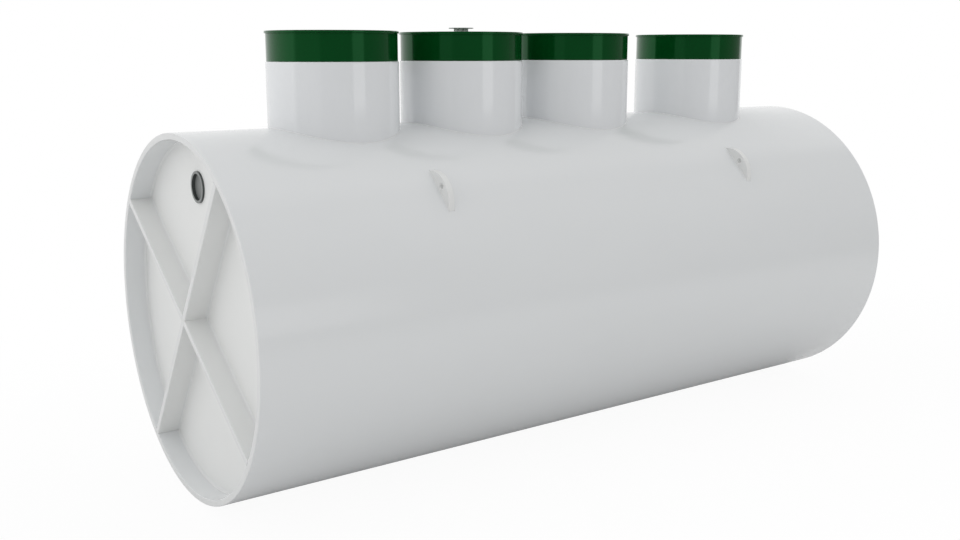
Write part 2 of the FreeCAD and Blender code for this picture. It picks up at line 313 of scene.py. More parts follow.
@dataclass(frozen=True)
class Plastic:
    """A plastic's finish: a clouded colour, an uneven gloss and a skin that isn't quite flat.

    Args:
        name: The plastic and how its surface was made.
        slot: The record's material slot; not used.
        colours: The main colour, and the one that it drifts towards in soft clouds, sRGB hex.
        cloud_mm: The width of the clouds.
        gloss: The lowest and highest roughness.
        sway_mm: The width and height of the slow waves in the skin.
        grain_mm: The width and height of the fine grain or orange peel.
        stretch: How many times longer the features are along X than across, as drawn sheet has.
        ior: The index of refraction.
        tint: The colour of what the surface mirrors face on, sRGB hex.
    """

    name: str
    slot: str
    colours: tuple[str, str]
    cloud_mm: float
    gloss: tuple[float, float]
    sway_mm: tuple[float, float]
    grain_mm: tuple[float, float]
    stretch: float = 1.0
    ior: float = 1.49
    tint: str = "#FFFFFF"

    def material(self) -> bpy.types.Material:
        """Make the finish's material on the first call, and find it again on the next ones.

        Returns:
            The material.
        """
        if self.name in bpy.data.materials:
            return bpy.data.materials[self.name]
        material = bpy.data.materials.new(self.name)
        material.use_nodes = True
        tree = material.node_tree
        tree.nodes.clear()
        place = add_node(tree, "TexCoord", {}, {}).outputs["Object"]
        drawn = add_node(tree, "Mapping", {"Scale": (1 / self.stretch, 1, 1)}, {"Vector": place})
        where = {"Vector": drawn.outputs["Vector"]}
        settings = {"Scale": per_metre(self.cloud_mm), "Detail": CLOUD_DETAIL}
        clouds = add_node(tree, "TexNoise", settings, where).outputs["Fac"]
        main_colour, cloud_colour = (linear(code) for code in self.colours)
        settings = {"data_type": "RGBA", COLOUR_A: main_colour, COLOUR_B: cloud_colour}
        colour = add_node(tree, "Mix", settings, {FACTOR: clouds})
        low, high = self.gloss
        settings = {"From Min": GLOSS_FROM, "From Max": GLOSS_TO, "To Min": low, "To Max": high}
        gloss = add_node(tree, "MapRange", settings, {"Value": clouds})
        normal = {}
        for (width_mm, rise_mm), detail in ((self.sway_mm, SWAY_DETAIL), (self.grain_mm, GRAIN_DETAIL)):
            settings = {"Scale": per_metre(width_mm), "Detail": detail}
            noise = add_node(tree, "TexNoise", settings, where).outputs["Fac"]
            settings = {"Distance": rise_mm * MM, "Strength": 1.0}
            bump = add_node(tree, "Bump", settings, {"Height": noise} | normal)
            normal = {"Normal": bump.outputs["Normal"]}
        settings = {"IOR": self.ior, "Specular Tint": linear(self.tint)}
        links = {"Base Color": colour.outputs[COLOUR_OUT], "Roughness": gloss.outputs["Result"]}
        shader = add_node(tree, "BsdfPrincipled", settings, links | normal)
        add_node(tree, "OutputMaterial", {}, {"Surface": shader.outputs["BSDF"]})
        return material


# In all these finishes the grain is drawn a few times coarser than the real one, which would be too
# fine to show. The IOR starts from the plastic's own, about 1.5, and is higher where more is mirrored.

# White polypropylene sheet, extruded and bent round: a clean even white with a soft gloss and a slow
# waviness along the sheet that keeps long reflections from being ruler-straight.
SHEET_WHITE = Plastic(
    name="polypropylene_extruded_sheet_white", slot="tank_white", colours=("#E4E6E7", "#E0E2E3"),
    cloud_mm=420, gloss=(0.12, 0.17), sway_mm=(310, 0.2), grain_mm=(9, 0.002), stretch=3.0, ior=1.55,
)

# The same white in stock pipe for the necks, drawn through a polished die: a harder gloss, with the
# lamps as crisp upright bands.
PIPE_WHITE = Plastic(
    name="polypropylene_extruded_pipe_white", slot="tank_white", colours=("#E7E9EB", "#E3E5E7"),
    cloud_mm=260, gloss=(0.05, 0.09), sway_mm=(190, 0.08), grain_mm=(9, 0.002), ior=1.85,
)

# The thick pressed plate of the ends, ribs and lugs: a satin skin that mirrors nothing sharply, and a
# white painted a shade lighter than the wall's, a painted light that lifts the shaded recesses of the
# ends.
PLATE_PAINTED_LIGHT_WHITE = Plastic(
    name="polypropylene_pressed_plate_white", slot="tank_white", colours=("#E8E9E8", "#E4E5E4"),
    cloud_mm=300, gloss=(0.42, 0.5), sway_mm=(240, 0.15), grain_mm=(9, 0.003), ior=1.6,
)

# Edges of plate and sheet as the saw leaves them: matt, with fine tooth marks, and a shade greyer as
# painted shade that dims the rim faces and rib fronts, which look along the tank.
SAWN_PAINTED_SHADE_WHITE = Plastic(
    name="polypropylene_sawn_edge_white", slot="tank_white", colours=("#E1E2E2", "#DCDDDD"),
    cloud_mm=40, gloss=(0.4, 0.55), sway_mm=(12, 0.05), grain_mm=(3, 0.02),
)

# The same plastic laid down hot from a welding rod: a little duller and rippled.
WELD_WHITE = Plastic(
    name="polypropylene_welded_bead_white", slot="tank_white", colours=("#E5E6E6", "#E1E2E2"),
    cloud_mm=60, gloss=(0.3, 0.42), sway_mm=(24, 0.12), grain_mm=(5, 0.02),
)

# Dark green polyethylene from a polished mould: deep colour, a trace of orange peel and crisp
# reflections, which take on the green unless they are seen edge on.
MOULDED_GREEN = Plastic(
    name="polyethylene_moulded_green", slot="cover_green", colours=("#023B15", "#033713"), cloud_mm=180,
    gloss=(0.08, 0.12), sway_mm=(140, 0.06), grain_mm=(4, 0.003), ior=1.51, tint="#89FFAE",
)

# Dark grey polypropylene drain pipe, extruded: a satin skin with faint clouds.
PIPE_GREY = Plastic(
    name="polypropylene_extruded_pipe_grey", slot="pipe_grey", colours=("#474B4A", "#414544"),
    cloud_mm=40, gloss=(0.3, 0.4), sway_mm=(30, 0.03), grain_mm=(2, 0.01),
)

# The pipe's sawn mouth, duller than the pipe's skin and much paler: a painted highlight for the light
# on the faces that look along the tank, over a slight whitening by the saw's fine teeth.
SAWN_PAINTED_HIGHLIGHT_GREY = Plastic(
    name="polypropylene_sawn_pipe_end_grey", slot="pipe_grey", colours=("#8E9190", "#858887"),
    cloud_mm=12, gloss=(0.45, 0.6), sway_mm=(6, 0.05), grain_mm=(1.5, 0.03),
)

# The plug in the pipe's mouth, moulded: a plain satin grey.
PLUG_GREY = Plastic(
    name="polypropylene_moulded_plug_grey", slot="pipe_grey", colours=("#737675", "#6B6E6D"),
    cloud_mm=40, gloss=(0.32, 0.42), sway_mm=(30, 0.03), grain_mm=(2, 0.01),
)

# Pale grey polypropylene of the vent pipe, extruded and slotted: satin.
VENT_GREY = Plastic(
    name="polypropylene_extruded_vent_grey", slot="vent_grey", colours=("#E2EAE5", "#D8E0DB"),
    cloud_mm=30, gloss=(0.3, 0.4), sway_mm=(25, 0.03), grain_mm=(2, 0.01),
)

# The vent's grey cap, moulded: satin, with a fine grain that blurs what it reflects.
CAP_GREY = Plastic(
    name="polypropylene_moulded_cap_grey", slot="vent_grey", colours=("#A3ACA7", "#9AA39E"),
    cloud_mm=30, gloss=(0.32, 0.42), sway_mm=(25, 0.03), grain_mm=(2, 0.012),
)


def add_piece(
    name: str, shape: Surface, finish: Plastic, replaced: tuple[str, ...] = ()
) -> bpy.types.Object:
    """Make a mesh object of a surface, dress it and let it ride on the part.

    Args:
        name: The piece's name.
        shape: Its surface, whose meeting points are merged and whose faces are turned outwards.
        finish: Its plastic.
        replaced: The nodes that the piece stands for.

    Returns:
        The object.
    """
    mesh = bpy.data.meshes.new(name)
    mesh.from_pydata(shape.points.tolist(), [], shape.faces.tolist())
    work = bmesh.new()
    work.from_mesh(mesh)
    bmesh.ops.remove_doubles(work, verts=work.verts, dist=WELD_DISTANCE)
    bmesh.ops.recalc_face_normals(work, faces=work.faces)
    work.to_mesh(mesh)
    work.free()
    mesh.shade_smooth()
    mesh.set_sharp_from_angle(angle=SHARP_ANGLE)
    mesh.materials.append(finish.material())
    piece = bpy.data.objects.new(name, mesh)
    bpy.context.scene.collection.objects.link(piece)
    shading = piece.modifiers.new("even_shading", "WEIGHTED_NORMAL")
    shading.keep_sharp = True
    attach(piece, BODY)
    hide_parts(*replaced)
    log.info("%s: %d faces", name, len(mesh.polygons))
    return piece


def dress_ends(piece: bpy.types.Object, finish: Plastic, least: float) -> None:
    """Give a second finish to the faces of a piece that look along X, either way.

    Args:
        piece: The piece.
        finish: The finish of those faces.
        least: The least cosine between X and the normal of such a face.
    """
    mesh = piece.data
    normals = np.empty(3 * len(mesh.polygons))
    mesh.polygons.foreach_get("normal", normals)
    looking = np.abs(normals[::3]) > least
    mesh.materials.append(finish.material())
    mesh.polygons.foreach_set("material_index", looking.astype(int))


@dataclass
class AccessNeck:
    """One neck on the crown: the white pipe, its weld to the tank, the green collar and the lid."""

    number: int
    vented: bool
    tank_radius: float
    neck_wall: float = 20 * MM
    neck_edge: float = 6 * MM
    spigot_depth: float = 40 * MM
    spigot_wall: float = 12 * MM
    collar_edge: float = 1.5 * MM
    rim_wall: float = 10 * MM
    rim_depth: float = 20 * MM
    lid_edge: float = 3 * MM
    lid_under_edge: float = 1.5 * MM
    hidden_edge: float = 1 * MM
    vent_hole: float = 37.3 * MM
    fit_gap: float = 0.3 * MM
    weld_leg: float = 2.5 * MM

    def __post_init__(self) -> None:
        """Take the neck's place and main sizes from its nodes."""
        neck, collar, lid = (f"{piece}_{self.number}" for piece in ("neck", "collar", "lid"))
        low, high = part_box(neck)
        self.place = (low.x + high.x) / 2
        self.foot, self.top = low.z, high.z
        self.radius = half_width(neck)
        self.collar_radius, self.collar_top = half_width(collar), top_of(collar)
        self.lid_radius, self.lid_top = half_width(lid), top_of(lid)

    def neck_outline(self) -> np.ndarray:
        """Draw the pipe's wall, rounded at its upper edge.

        Returns:
            The outline as a loop of (radius, height).
        """
        bore = self.radius - self.neck_wall
        return closed(rounded([
            (bore, self.foot, self.hidden_edge),
            (self.radius, self.foot, self.hidden_edge),
            (self.radius, self.top, self.neck_edge),
            (bore, self.top, self.hidden_edge),
        ]))

    def collar_outline(self) -> np.ndarray:
        """Draw the collar's wall, with the spigot that drops into the neck.

        Returns:
            The outline as a loop of (radius, height).
        """
        spigot = self.radius - self.neck_wall - self.fit_gap
        bore = spigot - self.spigot_wall
        return closed(rounded([
            (bore, self.top - self.spigot_depth, self.hidden_edge),
            (spigot, self.top - self.spigot_depth, self.hidden_edge),
            (spigot, self.top, 0),
            (self.collar_radius, self.top, self.collar_edge),
            (self.collar_radius, self.collar_top, self.collar_edge),
            (bore, self.collar_top, self.hidden_edge),
        ]))

    def lid_outline(self) -> np.ndarray:
        """Draw the lid's section, with the rim under it that keeps it in the collar.

        Returns:
            Rows of (radius, height) from the underside at the middle round to the top; a loop where
            the vent goes through the lid.
        """
        rim = self.radius - self.neck_wall - self.spigot_wall - 2 * self.fit_gap
        middle = self.vent_hole if self.vented else 0
        section = rounded([
            (middle, self.collar_top, 0),
            (rim - self.rim_wall, self.collar_top, 0),
            (rim - self.rim_wall, self.collar_top - self.rim_depth, self.hidden_edge),
            (rim, self.collar_top - self.rim_depth, self.hidden_edge),
            (rim, self.collar_top, 0),
            (self.lid_radius, self.collar_top, self.lid_under_edge),
            (self.lid_radius, self.lid_top, self.lid_edge),
            (middle, self.lid_top, 0),
        ])
        return closed(section) if self.vented else section

    def weld(self) -> Surface:
        """Run a bead along the saddle where the neck's circle meets the tank's round crown.

        Over a point of the circle that lies y from the tank's middle plane, the crown is the square
        root of its radius squared less y squared above the tank's axis.

        Returns:
            The bead.
        """
        angle = np.linspace(0, 2 * np.pi, ROUND_STEPS + 1)
        flat = joined(np.cos(angle), np.sin(angle), 0.0)
        along = self.place + self.radius * np.cos(angle)
        side = self.radius * np.sin(angle)
        rise = np.sqrt(self.tank_radius**2 - side**2)
        path = joined(along, side, self.tank_radius + rise)
        normal = joined(0.0, side, rise) / self.tank_radius
        out = unit(flat - np.sum(flat * normal, axis=1, keepdims=True) * normal)
        return bead(path, np.array((0.0, 0.0, 1.0)), out, self.weld_leg)

    def build(self) -> None:
        """Make the neck's four pieces."""
        number = self.number
        centre = np.array((self.place, 0.0, 0.0))
        pipe = turned(self.neck_outline(), centre, TurnAxis.UP)
        add_piece(f"neck_{number}_pipe", pipe, PIPE_WHITE, (f"neck_{number}",))
        add_piece(f"neck_{number}_weld", self.weld(), WELD_WHITE)
        collar = turned(self.collar_outline(), centre, TurnAxis.UP)
        add_piece(f"neck_{number}_collar", collar, MOULDED_GREEN, (f"collar_{number}",))
        lid = turned(self.lid_outline(), centre, TurnAxis.UP)
        add_piece(f"neck_{number}_lid", lid, MOULDED_GREEN, (f"lid_{number}",))


@dataclass
class TankWall:
    """The tank's round wall, rounded at both rims and pierced where the necks pass through."""

    necks: list[AccessNeck]
    wall: float = 30 * MM
    rim_edge: float = 4 * MM
    hole_gap: float = 0.3 * MM
    patch_strip: float = 37 * MM
    patch_angle: float = math.radians(27)
    patch_cells: int = 24
    patch_rows: int = 6
    patch_crowding: float = 1.3
    line_step: float = 30 * MM

    def __post_init__(self) -> None:
        """Take the wall's length and radius from the lowest segment and the crown."""
        low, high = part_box("shell_bottom")
        self.half_length = (high.x - low.x) / 2
        self.radius = (top_of("shell_crown_1") - low.z) / 2
        self.bore = self.radius - self.wall
        self.patch_half = self.necks[0].radius + self.patch_strip

    def lines(self) -> np.ndarray:
        """Space the wall's rings so that some fall on the edges of the patches.

        Returns:
            The rings' places along X.
        """
        end = self.half_length - self.rim_edge
        edges = [-end]
        for neck in self.necks:
            edges += [neck.place - self.patch_half, neck.place + self.patch_half]
        edges.append(end)
        spans = []
        for number, (start, stop) in enumerate(zip(edges, edges[1:])):
            cells = self.patch_cells if number % 2 else max(1, round((stop - start) / self.line_step))
            spans.append(np.linspace(start, stop, cells, endpoint=False))
        return np.concatenate(spans + [[end]])

    def ring_points(self, along: np.ndarray, radius: np.ndarray, angle: np.ndarray) -> np.ndarray:
        """Place points on circles about the tank's axis; angles run from the crown to the far side."""
        return joined(along, radius * np.sin(angle), self.radius + radius * np.cos(angle))

    def tube(self) -> Surface:
        """Turn the wall's outline about the tank's axis, leaving out a patch round each neck.

        The outline runs along the outside, round the rounded rim, back along the bore and round
        the other rim. Its angle steps are those of the patches.

        Returns:
            The wall without the patches.
        """
        lines = self.lines()
        outside = joined(lines, self.radius)
        inside = joined(lines[::-1], self.bore)
        rims = rounded([
            (self.half_length, self.radius, self.rim_edge),
            (self.half_length, self.bore, self.rim_edge),
            (-self.half_length, self.bore, self.rim_edge),
            (-self.half_length, self.radius, self.rim_edge),
        ])
        right, left = rims[:2 * CORNER_STEPS], rims[2 * CORNER_STEPS:]
        outline = closed(np.concatenate((outside, right, inside, left)))
        turns = round(math.pi * self.patch_cells / self.patch_angle)
        angle = np.linspace(0, 2 * math.pi, turns + 1) - self.patch_angle
        middle = (outline[1:, 0] + outline[:-1, 0])[:, None] / 2
        places = np.array([neck.place for neck in self.necks])
        beside = (np.abs(middle - places) < self.patch_half).any(axis=1)
        above = (np.abs(angle[1:] + angle[:-1]) / 2) < self.patch_angle
        points = self.ring_points(outline[:, 0, None], outline[:, 1, None], angle[None])
        return grid(points, ~(beside[:, None] & above[None]))

    def patch(self, neck: AccessNeck) -> Surface:
        """Fill the place round a neck with rays from its round hole to the patch's square edge.

        Along a ray, place along X and angle about the tank's axis grow evenly from the hole's edge
        to the square. The rays run in on the outside, through the hole and out again in the bore,
        with their points crowded towards the hole.

        Args:
            neck: The neck that passes through the hole.

        Returns:
            The patch.
        """
        side = np.linspace(-1, 1, self.patch_cells + 1)[:-1]
        sides = (joined(1.0, side), joined(-side, 1.0), joined(-1.0, -side), joined(side, -1.0))
        square = closed(np.concatenate(sides))
        heading = np.arctan2(square[:, 1], square[:, 0])
        hole = neck.radius + self.hole_gap
        share = np.linspace(0, 1, self.patch_rows + 1)[:, None] ** self.patch_crowding
        from_neck = (1 - share) * hole * np.cos(heading) + share * self.patch_half * square[:, 0]
        layers = []
        for radius, way in ((self.radius, -1), (self.bore, 1)):
            edge_angle = np.arcsin(hole * np.sin(heading) / radius)
            angle = (1 - share) * edge_angle + share * self.patch_angle * square[:, 1]
            layers.append(self.ring_points(neck.place + from_neck, np.array(radius), angle)[::way])
        return grid(np.concatenate(layers))

    def build(self) -> None:
        """Make the wall as one piece that stands for all its segments."""
        shape = self.tube()
        for neck in self.necks:
            shape = shape + self.patch(neck)
        segments = tuple(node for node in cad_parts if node.startswith("shell_"))
        wall = add_piece("tank_wall", shape, SHEET_WHITE, segments)
        # The rim faces get a greyer copy of the wall's white: a painted shade.
        dress_ends(wall, SAWN_PAINTED_SHADE_WHITE, FLAT_FACING)


@dataclass
class TankEnd:
    """One end of the tank: the recessed plate, the cross of ribs, the pipe stub and its plug."""

    end: End
    wall: TankWall
    rib_wall: float = 30 * MM
    rib_angle: float = math.radians(55)
    rib_edge: float = 3 * MM
    rib_sink: float = 1 * MM
    rib_cells: int = 8
    pipe_wall: float = 12.4 * MM
    pipe_stand: float = 10 * MM
    barrel_step: float = 5 * MM
    mouth_edge: float = 2 * MM
    plug_edge: float = 2 * MM
    fit_gap: float = 0.3 * MM
    weld_leg: float = 10 * MM

    def __post_init__(self) -> None:
        """Take the end's places and main sizes from its nodes."""
        stub, plug = f"{self.end.word}_stub", f"{self.end.word}_plug"
        stub_low, stub_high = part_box(stub)
        plug_low, plug_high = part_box(plug)
        self.plate_face = self.outer_face(f"{self.end.word}_end_plate")
        self.rim_face = self.end.value * self.wall.half_length
        self.mouth = self.outer_face(stub)
        self.pipe_length = stub_high.x - stub_low.x
        self.pipe_height = (stub_high.z + stub_low.z) / 2
        self.pipe_radius = half_width(stub)
        self.plug_face = self.outer_face(plug)
        self.plug_wall = plug_high.x - plug_low.x
        self.inward = TurnAxis.BACKWARD if self.end is End.OUTLET else TurnAxis.FORWARD
        self.outward = np.array((self.end.value, 0.0, 0.0))

    def outer_face(self, node: str) -> float:
        """Return the place along X of the face of a node that looks out of the tank."""
        low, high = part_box(node)
        return high.x if self.end is End.OUTLET else low.x

    def rib_frame(self, turn: float) -> tuple[np.ndarray, np.ndarray]:
        """Find the directions of a rib in the plane of the plate.

        Args:
            turn: The angle from the long rib.

        Returns:
            The directions along and across the rib.
        """
        angle = turn - self.rib_angle
        along = np.array((0.0, -self.end.value * math.cos(angle), math.sin(angle)))
        across = np.array((0.0, self.end.value * math.sin(angle), math.cos(angle)))
        return along, across

    def rib(self, turn: float, start: float | None) -> Surface:
        """Carry a rib's section along its length up to the tank's bore.

        A point that lies w from the rib's middle plane ends where the bore is: at the square root
        of bore squared less w squared from the tank's axis.

        Args:
            turn: The angle from the long rib.
            start: Where the rib begins, from the axis; None where it runs right across.

        Returns:
            The rib with both ends closed.
        """
        along, across = self.rib_frame(turn)
        half = self.rib_wall / 2
        depth = abs(self.rim_face - self.plate_face) + self.rib_sink
        section = rounded([
            (-half, depth, 0),
            (-half, 0, self.rib_edge),
            (half, 0, self.rib_edge),
            (half, depth, 0),
        ])
        reach = np.sqrt(self.wall.bore**2 - section[:, 0] ** 2)[:, None]
        first = -reach if start is None else np.full_like(reach, start)
        place = first + (reach - first) * np.linspace(0, 1, self.rib_cells + 1)
        centre = np.array((self.rim_face, 0.0, self.wall.radius))
        base = centre + section[:, 0, None] * across - section[:, 1, None] * self.outward
        points = closed(base[:, None] + place[..., None] * along)
        shape = grid(points)
        for loop in (points[:, 0], points[:, -1]):
            shape = shape + cap(loop, loop.mean(axis=0))
        return shape

    def rib_weld(self, turn: float) -> Surface:
        """Run a bead down the foot of a rib, round the inner corner and up the next rib's foot.

        In the corner the bead's width direction is the sum of both ribs' directions, which mitres it.

        Args:
            turn: The first rib's angle from the long rib; the next rib stands a quarter turn on.

        Returns:
            The bead.
        """
        first, second = self.rib_frame(turn)
        half = self.rib_wall / 2
        place = np.linspace(self.wall.bore - self.rib_sink, half, self.rib_cells + 1)[:, None]
        middle = np.array((self.plate_face, 0.0, self.wall.radius))
        down = half * second + place * first
        up_again = half * first + place[-2::-1] * second
        path = middle + np.concatenate((down, up_again))
        out = np.repeat((second, first), (len(down), len(up_again)), axis=0)
        out[self.rib_cells] = first + second
        return bead(path, self.outward, out, self.weld_leg)

    def plate_weld(self) -> Surface:
        """Run a bead round the plate, in the corner with the tank's bore.

        Returns:
            The bead.
        """
        angle = np.linspace(0, 2 * np.pi, ROUND_STEPS + 1)
        path = self.wall.ring_points(np.array(self.plate_face), np.array(self.wall.bore), angle)
        to_axis = joined(0.0, -np.sin(angle), -np.cos(angle))
        return bead(path, self.outward, to_axis, self.weld_leg)

    def dress_plate(self) -> None:
        """Give the plate its finish; its solid is right as it is."""
        name = f"{self.end.word}_end_plate"
        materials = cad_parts[name].data.materials
        materials.clear()
        # The plate gets the lighter white: painted light against the shade of its recess.
        materials.append(PLATE_PAINTED_LIGHT_WHITE.material())
        log.info("%s: dressed", name)

    def add_ribs(self) -> None:
        """Make the three ribs of the cross, and the welds round the plate and along the ribs."""
        word = self.end.word
        half = self.rib_wall / 2
        quarter = math.pi / 2
        for which, turn, start in (("long", 0, None), ("upper", quarter, half), ("lower", -quarter, half)):
            shape = self.rib(turn, start)
            # The rib is made in the lighter plate white: painted light.
            rib = add_piece(f"{word}_rib_{which}", shape, PLATE_PAINTED_LIGHT_WHITE, (f"{word}_{which}_rib",))
            # The rib's front faces get the greyer sawn white: a painted shade.
            dress_ends(rib, SAWN_PAINTED_SHADE_WHITE, FLAT_FACING)
        welds = self.plate_weld()
        for turn in (0, quarter, 2 * quarter, -quarter):
            welds = welds + self.rib_weld(turn)
        add_piece(f"{word}_welds", welds, WELD_WHITE)

    def add_pipe(self) -> None:
        """Turn the pipe stub, whose ring stands on the plate, and the plug in its mouth."""
        word = self.end.word
        bore = self.pipe_radius - self.pipe_wall
        barrel = self.pipe_radius - self.barrel_step
        outline = closed(rounded([
            (bore, 0, self.mouth_edge),
            (self.pipe_radius, 0, self.mouth_edge),
            (self.pipe_radius, self.pipe_stand, 0),
            (barrel, self.pipe_stand, 0),
            (barrel, self.pipe_length, self.mouth_edge),
            (bore, self.pipe_length, self.mouth_edge),
        ]))
        stub = turned(outline, np.array((self.mouth, 0.0, self.pipe_height)), self.inward)
        pipe = add_piece(f"{word}_pipe_stub", stub, PIPE_GREY, (f"{word}_stub",))
        # The mouth gets a paler copy of the pipe's grey: a painted highlight.
        dress_ends(pipe, SAWN_PAINTED_HIGHLIGHT_GREY, MOUTH_FACING)
        outline = rounded([
            (0, 0, 0),
            (bore - self.fit_gap, 0, self.plug_edge),
            (bore - self.fit_gap, self.plug_wall, self.plug_edge),
            (0, self.plug_wall, 0),
        ])
        plug = turned(outline, np.array((self.plug_face, 0.0, self.pipe_height)), self.inward)
        add_piece(f"{word}_pipe_plug", plug, PLUG_GREY, (f"{word}_plug",))

    def build(self) -> None:
        """Dress the plate and make the end's other pieces."""
        self.dress_plate()
        self.add_ribs()
        self.add_pipe()


@dataclass
class LidVent:
    """The vent in the middle of one lid: a slotted pipe under a flat cap."""

    slots: int = 9
    slot_width: float = 6 * MM
    slot_height: float = 8 * MM
    slot_sill: float = 6 * MM
    pipe_wall: float = 4 * MM
    cap_edge: float = 1.2 * MM
    cap_under_edge: float = 0.6 * MM
    cap_plug: float = 4 * MM
    fit_gap: float = 0.3 * MM
    bar_cells: int = 4

    def __post_init__(self) -> None:
        """Take the vent's place and main sizes from its nodes."""
        low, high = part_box("vent_pipe")
        self.centre = np.array(((low.x + high.x) / 2, 0.0, 0.0))
        self.foot, self.top = low.z, high.z
        self.radius = half_width("vent_pipe")
        self.cap_radius, self.cap_top = half_width("vent_cap"), top_of("vent_cap")
        self.lid_top = top_of(f"lid_{VENTED_NECK}")

    def layer(self, radius: float, heights: np.ndarray) -> np.ndarray:
        """Place the pipe's points at one radius.

        A slot's edges stand half its width from the slot's middle plane, at an angle of
        arcsin(half width / radius), and the bar up to the next slot is divided evenly.

        Args:
            radius: The layer's radius.
            heights: The heights of its rows.

        Returns:
            The points, a row for each height.
        """
        pitch = 2 * math.pi / self.slots
        edge = math.asin(self.slot_width / 2 / radius)
        marks = np.concatenate(([-edge], np.linspace(edge, pitch - edge, self.bar_cells + 1)[:-1]))
        middles = math.pi / 2 + pitch * np.arange(self.slots)
        angle = closed((middles[:, None] + marks).ravel())
        return self.centre + joined(radius * np.cos(angle), radius * np.sin(angle), heights[:, None])

    def pipe(self) -> Surface:
        """Make the pipe of an outer and an inner layer with the slots left out.

        Where a solid cell borders a slot or an end, a face joins the two layers along that border.

        Returns:
            The slotted pipe.
        """
        sill = self.lid_top + self.slot_sill
        heights = np.array((self.foot, sill, sill + self.slot_height, self.top))
        row = np.ones(self.slots * (self.bar_cells + 1), bool)
        slotted = row.copy()
        slotted[::self.bar_cells + 1] = False
        solid = np.stack((row, slotted, row))
        outside = self.layer(self.radius, heights)
        inside = self.layer(self.radius - self.pipe_wall, heights)
        number = np.arange(outside[..., 0].size).reshape(outside.shape[:2])
        behind = number + number.size
        ends = np.pad(solid, ((1, 1), (0, 0)))
        level = ends[1:] != ends[:-1]
        upright = solid != np.roll(solid, 1, axis=1)
        sills = joined(number[:, :-1], number[:, 1:], behind[:, 1:], behind[:, :-1])[level]
        jambs = joined(number[:-1], number[1:], behind[1:], behind[:-1])[:, :-1][upright]
        layers = grid(outside, solid) + grid(inside, solid)
        return Surface(layers.points, np.concatenate((layers.faces, sills, jambs)))

    def cap(self) -> Surface:
        """Turn the cap: a flat disc with a short plug that drops into the pipe.

        Returns:
            The cap.
        """
        plug = self.radius - self.pipe_wall - self.fit_gap
        outline = rounded([
            (0, self.top - self.cap_plug, 0),
            (plug, self.top - self.cap_plug, 0),
            (plug, self.top, 0),
            (self.cap_radius, self.top, self.cap_under_edge),
            (self.cap_radius, self.cap_top, self.cap_edge),
            (0, self.cap_top, 0),
        ])
        return turned(outline, self.centre, TurnAxis.UP)

    def build(self) -> None:
        """Make the vent's two pieces."""
        add_piece("vent_slotted_pipe", self.pipe(), VENT_GREY, ("vent_pipe",))
        add_piece("vent_flat_cap", self.cap(), CAP_GREY, ("vent_cap",))


